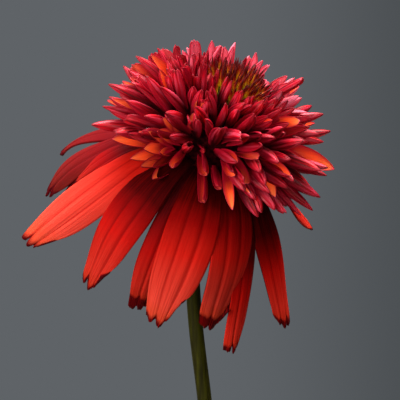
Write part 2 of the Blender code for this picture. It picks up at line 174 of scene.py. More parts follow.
def mottled(node, size, detail, upwards=1):
    """A noise over the object, from the size of its spots. Upwards below 1 draws them out along Z."""
    place = node("TexCoord").outputs["Object"]
    drawn_out = node("Mapping", {"Scale": (1, 1, upwards)}, {"Vector": place})
    return node("TexNoise", {"Scale": 1 / size, "Detail": detail}, {"Vector": drawn_out})


def layered(node, tone, layers):
    """A colour with others laid over it: each follows a value from a start to an end, up to its most."""
    for value, start, end, most, code in layers:
        share = node("MapRange", {"From Min": start, "From Max": end, "To Max": most}, {"Value": value})
        tone = node("Mix", {**COLOURS, SECOND: code}, {SHARE: share, FIRST: tone})
    return tone


outline = vase_outline()
heights = [height for _, height in outline if height > INNER_CURVE_HEIGHT]
inner_wall = [(inside_radius(outline, height), height) for height in heights[:-1]]
floor_edge = inside_radius(outline, FLOOR_THICKNESS)
lip = []
for step in range(LIP_STEPS + 1):
    around = pi * (1 - step / LIP_STEPS)
    inset = VASE_WALL / 2 * (1 - cos(around))
    lip.append((LIP_RADIUS - inset, VASE_HEIGHT + LIP_CROWN * sin(around)))
profile = [(0, FLOOR_THICKNESS), (floor_edge - FLOOR_ROUNDING, FLOOR_THICKNESS)]
profile += [(floor_edge - FLOOR_ROUNDING * FLOOR_EASE, FLOOR_THICKNESS + FLOOR_ROUNDING * FLOOR_EASE)]
profile += inner_wall + lip + outline[-2::-1] + [(FOOT_RADIUS - FOOT_CHAMFER, 0), (0, 0)]

# Satin glaze on stoneware: soft window-like gloss, iron specks, faint throwing rings, and a brown
# edge where the glaze runs thin on the lip. Below the glaze line the foot is bare, rough clay.
SPECK_SPACING = 1.6 * MM
CLOUD_SIZE = 22 * MM
RING_SPACING = 3.4 * MM
# How far the glaze's edges wander, and the heights from and to which it ends and runs thin
GLAZE_WANDER = 1.5 * MM
GLAZE_LINE = (4.1 * MM, 3.8 * MM)
THIN_EDGE = (VASE_HEIGHT + 0.2 * MM, VASE_HEIGHT + 1.4 * MM)
# The setting of a node that mixes two colours, and its inputs: the second one's share, and the two
COLOURS = {"data_type": "RGBA"}
SHARE, FIRST, SECOND = 0, 6, 7
glaze, node, shade = new_surface("satin oatmeal glaze on stoneware")
place = node("TexCoord").outputs["Object"]
height = node("SeparateXYZ", {}, {"Vector": place}).outputs["Z"]
clouds = mottled(node, CLOUD_SIZE, 3)
specks = mottled(node, SPECK_SPACING, 2)
ground = node("ValToRGB", {"stops": ((0.35, "#B9B2A2"), (0.68, "#CFCABC"))}, {"Fac": clouds})
wander = node("Math", {"operation": "MULTIPLY_ADD", 1: GLAZE_WANDER}, {0: clouds, 2: height})
glazed = layered(node, ground, (
    (specks, 0.68, 0.74, 1, "#5D4A38"),
    (wander, *THIN_EDGE, 0.75, "#7A5B40"),
    (wander, *GLAZE_LINE, 1, "#8E7358"),
))
roughness = node("MapRange", {"From Min": GLAZE_LINE[0], "From Max": GLAZE_LINE[1], "To Min": 0.3,
                              "To Max": 0.85}, {"Value": wander})
rings = node("TexWave", {"bands_direction": "Z", "Scale": 1 / RING_SPACING / pi, "Distortion": 1.4,
                         "Detail": 1}, {"Vector": place}).outputs["Fac"]
relief = node("Bump", {"Strength": 0.22, "Distance": 0.25 * MM}, {"Height": rings})
grain = node("Bump", {"Strength": 0.25, "Distance": 0.15 * MM}, {"Height": specks, "Normal": relief})
shade({}, {"Base Color": glazed, "Roughness": roughness, "Normal": grain})

vase = piece_of(spun(profile, VASE_SIDES), "bud_vase", glaze)
vase.data.set_sharp_from_angle(angle=VASE_CREASE)
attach(vase, "root")
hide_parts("vase")

# ---- Stem
# The cut flower's own stem: olive green, bare, a little thicker at its top and finely ribbed lengthwise.
# It swells into the green receptacle under the head, where two rows of small bracts hang, grown from it.
HEAD_CENTRE = Vector((-5.3, -5.0, 177.0)) * MM
HEAD_LEAN = radians(25.0)
HEAD_LEAN_WAY = radians(-37.2)
STEM_RADIUS = 1.88 * MM
STEM_TOP_RADIUS = 2.5 * MM
# Points down the stem in mm: first from the head's centre, then from the middle of the vase's foot
STEM_FROM_HEAD = ((-1.3, 1.0, -3.6), (-3.0, 2.3, -8.5), (-4.3, 4.4, -18.0), (-4.6, 5.2, -29.5),
                  (-3.6, 5.3, -47.0), (-1.5, 5.2, -65.3))
STEM_IN_VASE = ((-4.2, 0.2, 88.0), (0.5, 0.6, 45.0), (5.0, 1.0, 3.95))
STEM_STEPS = 8
STEM_FLARE_STEPS = 2
STEM_RIBS = 9
STEM_RIB_DEPTH = 0.045
STEM_SIDES = 36
STEM_CREASE = radians(60)
TUBE_SEAM_GAP = 0.001 * MM


def head_frame():
    """The flower head's place: its axis up, and its X as near to the world's X as that allows."""
    axis = Vector((
        sin(HEAD_LEAN) * cos(HEAD_LEAN_WAY),
        sin(HEAD_LEAN) * sin(HEAD_LEAN_WAY),
        cos(HEAD_LEAN),
    ))
    right = (Vector((1, 0, 0)) - axis * axis.x).normalized()
    turn = Matrix((right, axis.cross(right), axis)).transposed()
    return Matrix.Translation(HEAD_CENTRE) @ turn.to_4x4()


def between(ends, share):
    """The value at a share of the way between two ends."""
    return ends[0] + (ends[1] - ends[0]) * share


def smooth_route(points, steps):
    """Points along a smooth curve that passes through the given ones."""
    ends = [points[0] * 2 - points[1]] + points + [points[-1] * 2 - points[-2]]
    route = []
    for before, start, end, after in zip(ends, ends[1:], ends[2:], ends[3:]):
        handle_out = start + (end - before) / 6
        handle_in = end - (after - start) / 6
        route += interpolate_bezier(start, handle_out, handle_in, end, steps + 1)[:-1]
    return route + [points[-1]]


def poly_curve(name, points, radii, closed):
    """A curve of straight runs through points, with a thickness at each."""
    curve = bpy.data.curves.new(name, "CURVE")
    curve.dimensions = "3D"
    spline = curve.splines.new("POLY")
    spline.points.add(len(points) - 1)
    for knot, place, radius in zip(spline.points, points, radii):
        knot.co = (*place, 1)
        knot.radius = radius
    spline.use_cyclic_u = closed
    return new_object(name, curve)


def finished_mesh(item):
    """A new mesh of an object with its bevel or its modifier worked out."""
    return bpy.data.meshes.new_from_object(item.evaluated_get(bpy.context.evaluated_depsgraph_get()))


def swept(route, radii, sides, ribs, rib_depth):
    """A closed tube along a route, with ribs along it."""
    section = []
    for side in range(sides):
        around = 2 * pi * side / sides
        reach = 1 - rib_depth * (1 - abs(cos(ribs * around / 2)))
        section.append(Vector((cos(around) * reach, sin(around) * reach, 0)))
    ring = poly_curve("section", section, [1] * sides, True)
    rope = poly_curve("route", route, radii, False)
    rope.data.bevel_mode = "OBJECT"
    rope.data.bevel_object = ring
    rope.data.use_fill_caps = True
    mesh = finished_mesh(rope)
    for used in (rope, ring):
        bpy.data.objects.remove(used)
    shape = bmesh.new()
    shape.from_mesh(mesh)
    bmesh.ops.remove_doubles(shape, verts=shape.verts, dist=TUBE_SEAM_GAP)
    bmesh.ops.recalc_face_normals(shape, faces=shape.faces)
    bpy.data.meshes.remove(mesh)
    return shape


stem_points = [HEAD_CENTRE + Vector(point) * MM for point in STEM_FROM_HEAD]
stem_route = smooth_route(stem_points + [Vector(point) * MM for point in STEM_IN_VASE], STEM_STEPS)
stem_radii = []
for step in range(len(stem_route)):
    flared = min(1, step / (STEM_FLARE_STEPS * STEM_STEPS))
    stem_radii.append(between((STEM_TOP_RADIUS, STEM_RADIUS), flared))
stem_shape = swept(stem_route, stem_radii, STEM_SIDES, STEM_RIBS, STEM_RIB_DEPTH)

RECEPTACLE_TOP = -3.5 * MM
RECEPTACLE_SIDES = 40
# The swelling's outline from its top edge down: radius and height in mm
RECEPTACLE_PROFILE = ((7.0, 0), (7.4, -0.35), (7.3, -1.0), (6.6, -2.0), (5.4, -3.2), (4.1, -4.5),
                      (3.2, -5.7), (2.6, -6.5))
BRACT_COUNT = 20
BRACT_LENGTH = 8.0 * MM
BRACT_GROWTH = (0.85, 1.1)
BRACT_WIDTH = 2.6 * MM
BRACT_THICKNESS = 0.6 * MM
BRACT_GRID = (6, 10)
BRACT_BEND = 0.5
BRACT_KEEL = 0.5 * MM
BRACT_POINT = 0.05 * MM
BRACT_JITTER = 0.07
# Each row of bracts: how far it hangs over, and where it grows from
BRACT_ROWS = (
    (radians(128), 5.0 * MM, -5.7 * MM),
    (radians(146), 3.8 * MM, -7.1 * MM),
)
# What each vertex of a blade tells: how far along and across it is, on which face, its petal's look, and
# how far painted shade reaches down its root
MARKS = ("along", "across", "vary", "face", "ripe", "dark")


def turned_profile(rows, lift):
    """A profile to spin, from rows of radius and height in mm, closed onto the axis at both ends."""
    closed = ((0, rows[0][1]), *rows, (0, rows[-1][1]))
    return [(radius * MM, lift + height * MM) for radius, height in closed]


def mark_layers(shape):
    """The layer of each mark on a mesh's vertices, which its material reads."""
    layers = shape.verts.layers.float
    return {name: layers.get(name) or layers.new(name) for name in MARKS}


def add_blade(shape, grid, point_at, thickness, grown_face, vary, ripe=0, dark=0):
    """Add a thin closed blade: a grid laid out by point_at(across, along), thickened and marked."""
    marks = mark_layers(shape)
    fresh = bmesh.ops.create_grid(shape, x_segments=grid[0], y_segments=grid[1], size=0.5)["verts"]
    for vert in fresh:
        across, along = vert.co.x * 2, vert.co.y + 0.5
        vert[marks["across"]], vert[marks["along"]] = across, along
        vert[marks["vary"]], vert[marks["ripe"]], vert[marks["dark"]] = vary, ripe, dark
        vert[marks["face"]] = 1 - grown_face
        vert.co = point_at(across, along)
    faces = list({face for vert in fresh for face in vert.link_faces})
    for item in faces + fresh:
        item.normal_update()
    normals = {tuple(vert.co): vert.normal.copy() for vert in fresh}
    grown = bmesh.ops.extrude_face_region(shape, geom=faces)["geom"]
    for vert in grown:
        if isinstance(vert, bmesh.types.BMVert):
            vert[marks["face"]] = grown_face
            vert.co += normals[tuple(vert.co)] * thickness / 2
    for vert in fresh:
        vert.co -= normals[tuple(vert.co)] * thickness / 2


def grown_from(way, radius, height, lean, swing=0, sunk=0):
    """A place on the head to grow from: its Z leans outwards and swings aside, its X faces outwards."""
    place = Matrix.Rotation(way, 4, "Z") @ Matrix.Translation((radius, 0, height))
    place = place @ Matrix.Rotation(lean, 4, "Y") @ Matrix.Rotation(swing, 4, "X")
    return place @ Matrix.Translation((0, 0, -sunk))


def add_bracts(shape):
    """The two rows of bracts under the head: the lower row hangs more steeply."""
    draw = random.Random(11)
    for index in range(BRACT_COUNT):
        slope, radius, low = BRACT_ROWS[index % len(BRACT_ROWS)]
        way = 2 * pi * index / BRACT_COUNT
        place = grown_from(way, radius, low, slope + draw.uniform(-BRACT_JITTER, BRACT_JITTER))
        length = BRACT_LENGTH * draw.uniform(*BRACT_GROWTH)

        def bract_point(across, along):
            # A lance outline, widest a third of the way up, with a keel that runs out at the point
            lance = sin(pi * (0.2 + 0.8 * along) ** 0.9) ** 0.8
            aside = across * (BRACT_WIDTH / 2 * lance + BRACT_POINT)
            keel = -BRACT_KEEL * across * across * (1 - along)
            out = keel + length * BRACT_BEND * along * along / 4
            return place @ Vector((out, aside, along * length))

        add_blade(shape, BRACT_GRID, bract_point, BRACT_THICKNESS, 0, draw.random())


under_head = spun(turned_profile(RECEPTACLE_PROFILE, RECEPTACLE_TOP), RECEPTACLE_SIDES)
add_bracts(under_head)
under_head.transform(head_frame())
swelling = bpy.data.meshes.new("swelling")
under_head.to_mesh(swelling)
under_head.free()
mark_layers(stem_shape)
stem_shape.from_mesh(swelling)
bpy.data.meshes.remove(swelling)

# Living green skin: olive, darker and browner in lengthwise streaks, with hardly any gloss.
STREAK_WIDTH = 0.9 * MM
STREAK_STRETCH = 0.07
MOTTLE_SIZE = 0.45 * MM
stem_skin, node, shade = new_surface("olive stem skin")
streaks = mottled(node, STREAK_WIDTH, 3, STREAK_STRETCH)
olive = node("ValToRGB", {"stops": ((0.30, "#161301"), (0.55, "#2A2902"), (0.75, "#3A3A03"))},
             {"Fac": streaks})
mottle = mottled(node, MOTTLE_SIZE, 2)
relief = node("Bump", {"Strength": 0.4, "Distance": 0.12 * MM}, {"Height": mottle})
shade({"Roughness": 0.55, "Specular IOR Level": 0.08}, {"Base Color": olive, "Normal": relief})

stem = piece_of(stem_shape, "flower_stem", stem_skin)
stem.data.set_sharp_from_angle(angle=STEM_CREASE)
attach(stem, "root")
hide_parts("stem")

# ---- Water
# Tap water that fills the lower part of the vase and wets its wall a little higher. The stem stands in
# it, so its solid has a hole that the stem fits.
WATER_LEVEL = 62 * MM
WATER_GAP = 0.3 * MM
WATER_CREASE = radians(50)
# The curved edge against the wall: how far in from it, and how high above the level
EDGE_START = 0.5 * MM
EDGE_CURVE = ((2.6 * MM, 0), (1.2 * MM, 0.25 * MM), (0.4 * MM, 0.8 * MM), (0, 1.5 * MM))
STEM_HOLE_GAP = 0.3 * MM
STEM_HOLE_SIDES = 24
STEM_HOLE_RISE = 20 * MM
water_heights = [height for _, height in outline if INNER_CURVE_HEIGHT < height < WATER_LEVEL]
water_side = [(inside_radius(outline, height) - WATER_GAP, height) for height in water_heights]
surface_edge = inside_radius(outline, WATER_LEVEL) - WATER_GAP - EDGE_START
water_top = [(surface_edge - inset, WATER_LEVEL + rise) for inset, rise in EDGE_CURVE]
bottom = FLOOR_THICKNESS + WATER_GAP
water_profile = [(0, WATER_LEVEL)] + water_top + water_side[::-1]
water_profile += [(floor_edge - FLOOR_ROUNDING - WATER_GAP, bottom), (0, bottom)]

# Clean water: clear, smooth, and with a faint ripple that breaks its reflections.
RIPPLE_SIZE = 9 * MM
clear_water, node, shade = new_surface("clear water")
relief = node("Bump", {"Strength": 0.1, "Distance": 0.2 * MM}, {"Height": mottled(node, RIPPLE_SIZE, 1)})
shade({"Base Color": "#F2F7F4", "Roughness": 0.0, "IOR": 1.333, "Transmission Weight": 1.0},
      {"Normal": relief})
water = piece_of(spun(water_profile, VASE_SIDES), "vase_water", clear_water)

wet_route = [point for point in stem_route if point.z < WATER_LEVEL + STEM_HOLE_RISE]
wet_route.append(wet_route[-1] * 2 - wet_route[-2])
hole_radii = [STEM_RADIUS + STEM_HOLE_GAP] * len(wet_route)
hole = piece_of(swept(wet_route, hole_radii, STEM_HOLE_SIDES, 0, 0), "stem_hole")
cut = water.modifiers.new("stem hole", "BOOLEAN")
cut.operation = "DIFFERENCE"
cut.solver = "MANIFOLD"
cut.object = hole
cut_mesh = finished_mesh(water)
water.modifiers.clear()
water.data = cut_mesh
bpy.data.objects.remove(hole)
water.data.set_sharp_from_angle(angle=WATER_CREASE)
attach(water, "root")
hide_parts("water")

# ---- Rays
# The long red petals that hang in one ring of two layers, all grown from a low collar on the receptacle.
# Each is a thin velvety blade with two sharp furrows, and its tip is torn into dark, drying teeth.
COLLAR_PROFILE = ((8.2, -0.3), (8.6, -0.7), (8.6, -2.7), (8.2, -3.1))
COLLAR_SIDES = 48
RAY_START = 6.6 * MM
RAY_LAYER_HEIGHTS = (-0.95 * MM, -2.05 * MM)
# A ray bends down over its root to the first droop, then on to its final droop by the settled share
RAY_BEND_RADII = (20 * MM, 16.5 * MM)
RAY_FIRST_DROOP = radians(48)
RAY_SETTLED = 0.62
# A tip curls over the last tenth of its ray. With a longer curl than this, the outer six tenths arch
RAY_LONG_CURL = radians(32)
RAY_CURL_FROM = (0.9, 0.4)
RAY_THICKNESS = 0.45 * MM
RAY_GRID = (24, 42)
RAY_SLICES = 2
# Its outline: narrow at the root, at full width from there on, and tapered at its tip
RAY_ROOT_SHARE = 0.30
RAY_FULL_FROM = 0.52
RAY_TAPER_FROM = 0.6
RAY_TAPER = 0.38
RAY_SLANT = 0.045
RAY_SLANT_FROM = 0.5
RAY_SLANT_POWER = 1.5
# Its section: cupped, with two furrows, and wavy at its margins, all of it from where it opens
RAY_OPEN = 0.4
RAY_CUP = 1.0 * MM
RAY_SKEW = 0.07
RAY_FURROW = 0.28 * MM
FURROW_PLACE = 1 / 3
FURROW_WIDTH = 0.08
RAY_WAVE = 0.5 * MM
RAY_WAVE_TURNS = 9
# Its tip: corners that fall back, notches at the furrows, and a torn edge
RAY_TIP_START = 0.74
RAY_TIP_POWER = 1.4
CORNER_POWER = 2.2
NOTCH_WIDTH = 0.13
NOTCH_GAIN = 1.3
RAY_TORN = 0.3
# Each ray: compass way and final droop in degrees, length and width in mm, layer, twist and curl of its
# tip in degrees, how far its left and right corner and its left and right notch fall short of the tip in
# mm, how far it is dulled to a dark crimson as painted shade, how far its tip has dried, and how far
# down its root the painted shadow of the dome reaches, which also deepens its red (below 0: less than on
# the others).
RAYS = (
    (36, 36, 49, 10.0, 0, -10, 20, 3.0, 3.5, 1.6, 0.8, 0.1, 0.3, 0.1),
    (60, 50, 46, 10.0, 1, 0, 30, 2.0, 3.0, 0.8, 1.8, 0.2, 0.5, 0.2),
    (84, 42, 48, 10.5, 0, 0, 10, 3.5, 2.0, 1.5, 1.2, 0.0, 0.2, 0.1),
    (108, 52, 46, 10.0, 1, 0, 30, 2.5, 4.0, 1.2, 1.0, 0.3, 0.7, 0.2),
    (137, 34, 47, 12.0, 0, 22, 34, 3.0, 2.0, 1.6, 1.4, 0.88, 0.65, 0.0),
    (165, 50, 44.5, 9.6, 0, 34, 38, 3.5, 3.0, 1.2, 3.0, 0.85, 0.8, -0.1),
    (176, 72, 43, 10.0, 1, 24, 0, 2.5, 3.5, 1.0, 1.6, 0.95, 0.45, 0.2),
    (184, 62, 31, 8.0, 0, 10, 10, 1.5, 3.0, 0.8, 0.6, 0.6, 0.35, 0.3),
    (207.5, 51.5, 48, 12.0, 0, 20, 5, 0.6, 5.0, 1.8, 0.9, 0.14, 0.1, -0.42),
    (231.2, 81, 46.8, 11.4, 0, 0, 25, 2.0, 6.0, 2.4, 0.4, 0.18, 0.3, 0.09),
    (256.5, 96, 45.5, 9.6, 1, 30, 28, 1.2, 3.0, 1.4, 0.8, 0.3, 1.8, 0.2),
    (268, 80, 47, 13.0, 0, -14, 0, 1.6, 8.0, 1.4, 0.6, 0.0, 0.3, -0.07),
    (294.5, 84, 45.5, 11.8, 0, 8, 20, 1.5, 6.5, 0.9, 0.3, 0.12, 1.3, 0.02),
    (307, 74, 49, 7.2, 1, 0, 0, 0.8, 5.0, 1.4, 0.5, 0.12, 0.6, 0.35),
    (329, 57, 44.2, 9.2, 1, -14, 6, 3.5, 0.8, 0.6, 1.4, 0.12, 0.8, 0.22),
)


def passed(value, start, reach):
    """How far a value has come over a reach from a start, from 0 to 1."""
    return min(1, max(0, (value - start) / reach))


def ray_spine(length, final_droop, bend_radius, start_height, tip_curl):
    """Outward distance, height and droop at each row of a ray's middle line."""
    spine = []
    outward, low = RAY_START, start_height
    first_droop = min(RAY_FIRST_DROOP, final_droop)
    arc = first_droop * bend_radius
    steps = RAY_GRID[1] * RAY_SLICES
    stride = length / steps
    curl_from = RAY_CURL_FROM[tip_curl > RAY_LONG_CURL]
    for step in range(steps + 1):
        along = stride * step
        settled = min(1, max(0, (along - arc) / (length - arc)) / RAY_SETTLED)
        droop = between((first_droop * min(1, along / arc), final_droop), settled)
        droop += tip_curl * passed(step / steps, curl_from, 1 - curl_from) ** 2
        if step % RAY_SLICES == 0:
            spine.append((outward, low, droop))
        outward += cos(droop) * stride
        low -= sin(droop) * stride
    return spine


def add_ray(shape, row, draw):
    """Add one ray. Its vary mark says how far it has dried, and its ripe mark how far it is dulled with
    painted shade.
    """
    way, final_droop, length, width, layer, twist, tip_curl = row[:7]
    shorts, notches = row[7:9], row[9:11]
    shade_dulled, dry, dark = row[11:]
    spine = ray_spine(length * MM, radians(final_droop), RAY_BEND_RADII[layer],
                      RAY_LAYER_HEIGHTS[layer], radians(tip_curl))
    turn_way = Matrix.Rotation(radians(way), 4, "Z")
    phase = draw.uniform(0, 2 * pi)
    skew = draw.uniform(-RAY_SKEW, RAY_SKEW)
    torn = [draw.uniform(-RAY_TORN, RAY_TORN) for _ in range(RAY_GRID[0] + 1)]

    def ray_point(across, along):
        side = -across
        short, notch = shorts[side > 0], notches[side > 0]
        outward, low, droop = spine[round(along * RAY_GRID[1])]
        opening = sin(pi / 2 * min(1, along / RAY_FULL_FROM))
        tapered = passed(along, RAY_TAPER_FROM, 1 - RAY_TAPER_FROM) ** 2
        half = width * MM / 2 * between((RAY_ROOT_SHARE, 1), opening) * (1 - RAY_TAPER * tapered)
        slant = passed(along, RAY_SLANT_FROM, 1 - RAY_SLANT_FROM) ** RAY_SLANT_POWER
        spread = side * half * (1 - RAY_SLANT * short * slant)

        opened = min(1, along / RAY_OPEN)
        from_furrow = abs(side + skew * (1 - side * side)) - FURROW_PLACE
        crease = exp(-(from_furrow / FURROW_WIDTH) ** 2)
        lift = -(RAY_CUP * side * side + RAY_FURROW * crease) * opened
        lift += RAY_WAVE * sin(RAY_WAVE_TURNS * along + phase) * side ** 3 * opened

        tip = passed(along, RAY_TIP_START, 1 - RAY_TIP_START) ** RAY_TIP_POWER
        gap = exp(-(from_furrow / NOTCH_WIDTH) ** 2)
        ragged = torn[round((side + 1) * RAY_GRID[0] / 2)]
        reach = -MM * (short * abs(side) ** CORNER_POWER + notch * NOTCH_GAIN * gap + ragged) * tip

        turn = radians(twist) * along
        aside = spread * cos(turn) + lift * sin(turn)
        lift = lift * cos(turn) - spread * sin(turn)
        return turn_way @ Vector((
            outward + cos(droop) * reach + sin(droop) * lift,
            aside,
            low - sin(droop) * reach + cos(droop) * lift,
        ))

    add_blade(shape, RAY_GRID, ray_point, RAY_THICKNESS, 1, dry, shade_dulled, dark)


rays_shape = spun(turned_profile(COLLAR_PROFILE, 0), COLLAR_SIDES)
draw = random.Random(21)
for row in RAYS:
    add_ray(rays_shape, row, draw)
rays_shape.transform(head_frame())

# Ray petal: velvety and saturated, with fine veins lengthwise. Its upper face is scarlet, lighter to
# the tip, and painted nearly black at the root as the shadow that the dome throws on it. Its back is a
# duller crimson of its own, darkened further with painted shade, and a ray that lies in shade is dulled
# to the same dark crimson as painted shade. Its creases carry painted shade. Its teeth dry to maroon.
# The veins are about 0.4 mm apart on a ray 10 mm wide, and the broad bands in its red about 2 mm.
VEIN_COUNT = 26
BAND_COUNT = 4.4
TINT = {"data_type": "RGBA", "blend_type": "MULTIPLY"}


def read_marks(node, *names):
    """The marks of a petal's mesh, as its material reads them."""
    return {name: node("Attribute", {"attribute_name": name}).outputs["Fac"] for name in names}


def petal_noise(node, marks, scale, detail, roughness=0.5):
    """A noise laid out on a petal, across it and along it, and another one on each petal."""
    spread = node("CombineXYZ", {}, {0: marks["across"], 1: marks["along"], 2: marks["vary"]})
    place = node("Mapping", {"Scale": scale}, {"Vector": spread})
    return node("TexNoise", {"Scale": 1, "Detail": detail, "Roughness": roughness}, {"Vector": place})


ray_skin, node, shade = new_surface("velvety scarlet ray petal")
marks = read_marks(node, *MARKS)
veins = petal_noise(node, marks, (VEIN_COUNT / 2, 2.2, 40), 3, 0.6)
bands = petal_noise(node, marks, (BAND_COUNT / 2, 1.3, 17), 2)
# Painted shade: the dark mark moves the place on the length ramp back, so the near-black root that
# stands for the dome's shadow reaches further down a ray
to_tip = node("Math", {"operation": "SUBTRACT", 1: 1.0}, {0: marks["along"]})
root_shade_place = node("Math", {"operation": "MULTIPLY_ADD"}, {0: to_tip, 1: marks["dark"], 2: marks["along"]})
dried_and_shaded = node("Math", {"operation": "MULTIPLY_ADD", 1: 0.05}, {0: marks["vary"], 2: root_shade_place})
root_shade_length_tone = node("ValToRGB", {"stops": (
    (0.0, "#080000"), (0.22, "#1A0000"), (0.36, "#460101"), (0.47, "#940605"),
    (0.63, "#DA2216"), (0.90, "#F65643"), (0.975, "#E85838"), (1.0, "#34060A"),
)}, {"Fac": dried_and_shaded})
# Painted shade: a ray with more root shade gets a deeper, less pink red, and the most lit ones stay
# paler
shade_deep_share = node("MapRange", {"From Min": -0.1, "From Max": 0.15}, {"Value": marks["dark"]})
shade_deepened = node("Mix", {**TINT, SECOND: "#FFB4A8"}, {SHARE: shade_deep_share, FIRST: root_shade_length_tone})
banded = node("Mix", {**TINT, SECOND: "#C9A0A0"}, {SHARE: bands, FIRST: shade_deepened})
vein_reach = node("Math", {"operation": "MULTIPLY", 1: 0.7}, {0: marks["along"]})
vein_share = node("MapRange", {"From Min": 0.4, "From Max": 0.68},
                  {"Value": veins, "To Max": vein_reach})
veined = node("Mix", {**COLOURS, SECOND: "#980603"}, {SHARE: vein_share, FIRST: banded})
# Painted shade along the two furrows, where the creased petal falls into shade
from_middle = node("Math", {"operation": "ABSOLUTE"}, {0: marks["across"]})
furrow_shade = node("ValToRGB", {"stops": ((0.24, "#FFFFFF"), (0.33, "#D4A8A8"), (0.42, "#FFFFFF"))},
                   {"Fac": from_middle})
furrow_shaded = node("Mix", {**TINT, SHARE: 1.0}, {FIRST: veined, SECOND: furrow_shade})
# Painted shade: the back face, a duller crimson of its own, and a ray that lies in shade both turn to
# one dark crimson
turned_back = node("Math", {"operation": "SUBTRACT", 0: 1.0}, {1: marks["face"]})
back_and_shade_dulled = node("Math", {"operation": "MAXIMUM"}, {0: turned_back, 1: marks["ripe"]})
ray_tone = node("Mix", {**COLOURS, SECOND: "#4C070F"}, {SHARE: back_and_shade_dulled, FIRST: furrow_shaded})
relief = node("Bump", {"Strength": 0.7, "Distance": 0.12 * MM}, {"Height": veins})
shade({
    "Roughness": 0.6, "Specular IOR Level": 0.02,
    "Sheen Weight": 0.01, "Sheen Roughness": 0.4, "Sheen Tint": "#FFB0A8",
    "Subsurface Weight": 0.1, "Subsurface Scale": 0.5 * MM, "Subsurface Radius": (1.0, 0.15, 0.1),
}, {"Base Color": ray_tone, "Normal": relief})

rays = piece_of(rays_shape, "ray_petals", ray_skin)
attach(rays, "root")
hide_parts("rays")

# ---- Florets
# The dome: about two hundred petal-like florets, each a thin blade rolled lengthwise into a pointed
# spindle, grown in a golden-angle spiral from a solid core. Some have opened and show their orange face.
GOLDEN_ANGLE = pi * (3 - sqrt(5))
CORE_RADIUS = 13.2 * MM
CORE_HALF_HEIGHT = 12.0 * MM
CORE_CENTRE = 5.0 * MM
CORE_FLAT_TOP = 15.0 * MM
CORE_SIDES = 40
CORE_STEPS = 12
# From the dome's top to its rim: the angle on the core, the slope of the florets, and their size
FLORET_COUNT = 216
FLORET_SPAN = (radians(39), radians(112))
FLORET_SLOPES = (radians(16), radians(110))
FLORET_STEEPEST = radians(126)
FLORET_LENGTHS = (9.0 * MM, 15.0 * MM)
FLORET_WIDTHS = (2.6 * MM, 3.6 * MM)
FLORET_GROWN = 0.62
FLORET_THICKNESS = 0.2 * MM
FLORET_SUNK = 1.7 * MM
# How unlike each other they are
FLORET_LENGTH_SPREAD = (0.76, 1.12)
FLORET_WIDTH_SPREAD = (0.9, 1.1)
FLORET_CURL = 0.5
FLORET_CURL_SPREAD = (-0.6, 1.2)
FLORET_SWAY = 0.3
FLORET_JITTER = 0.22
FLORET_SWING = 0.34
FLORET_GRID = (6, 5)
FLORET_KEEL = 0.16
OPEN_BLADE_WIDTH = 0.6
# How wide the blade is along it, from its root to its point: rolled shut, or flat with a toothed end
POINTED_ROWS = ((0, 0.4), (0.26, 0.7), (0.53, 1.0), (0.76, 0.88), (0.92, 0.45), (1.0, 0.04))
TOOTHED_ROWS = ((0, 0.45), (0.24, 0.75), (0.5, 1.0), (0.76, 1.0), (0.92, 0.8), (1.0, 0.5))
FLORET_TEETH = (-0.13, -0.04, -0.09, 0, -0.09, -0.02, -0.12)
# Each kind of floret: least and most roll in degrees, share of full width, rows, teeth, twist and turn
SPINDLE = (250, 325, 0.86, POINTED_ROWS, 0, 0.6, 0.6)
CANOE = (160, 250, 0.88, POINTED_ROWS, 0, 0.8, 0.9)
STRAP = (60, 150, 0.98, TOOTHED_ROWS, 1, 1.0, 1.0)
# Which kind grows where: on average, and how much that changes from behind the tidy side to it
TIDY_WAY = radians(335)
SPINDLES_TO = (0.35, 0.4)
STRAPS_FROM = (0.8, 0.22)
# Open ones, and where the florets turn over so that their backs face up
OPEN_SHARE = 0.12
OPEN_FROM = 0.8
OVER_FROM = 0.2
OVER_REACH = 0.25
# How pink a floret's back is: by chance, and more towards the back of the top as painted light from the
# lamp behind
PINK_BY_CHANCE = 0.7
PINK_BY_BACKLIGHT = 1.7
# The dark parting in front: florets lean away from it, those near it are torn, none grow in its middle
PARTING_WAY = radians(254)
PARTING_ANGLE = radians(85)
PARTING_REACH = (radians(24), radians(18))
PARTING_PUSH = radians(24)
PARTING_BARE = 0.86
TORN_FROM = 0.12
TORN_SHARE = 0.6
TORN_RIPE = (0.2, 0.9)
# The gap under it, where the ones below hang, given one by one
HUNG_FROM = 0.695
HUNG_WAYS = (radians(208), radians(282))
# The side where the dome sags and grows longer, and the side where its rim is short
SAG_WAY = radians(322)
SAG = radians(15)
SAG_GROWTH = 0.07
SHORT_WAY = radians(256)
SHORT_REACH = radians(44)
SHORT_FROM = 0.5
SHORT_OVER = 0.25
SHORTENED = 0.42


def core_point(angle):
    """Radius and height on the core's surface, at an angle from the head's axis."""
    return CORE_RADIUS * sin(angle), CORE_CENTRE + CORE_HALF_HEIGHT * cos(angle)


def turned_by(way, middle):
    """The angle from a middle way round to another, from half a turn back to half a turn on."""
    return (way - middle + pi) % (2 * pi) - pi


def parting_share(way, angle):
    """How near a floret grows to the parting, from 0 far off to 1 in its middle."""
    aside = turned_by(way, PARTING_WAY) / PARTING_REACH[0]
    return exp(-aside ** 2 - ((angle - PARTING_ANGLE) / PARTING_REACH[1]) ** 2)


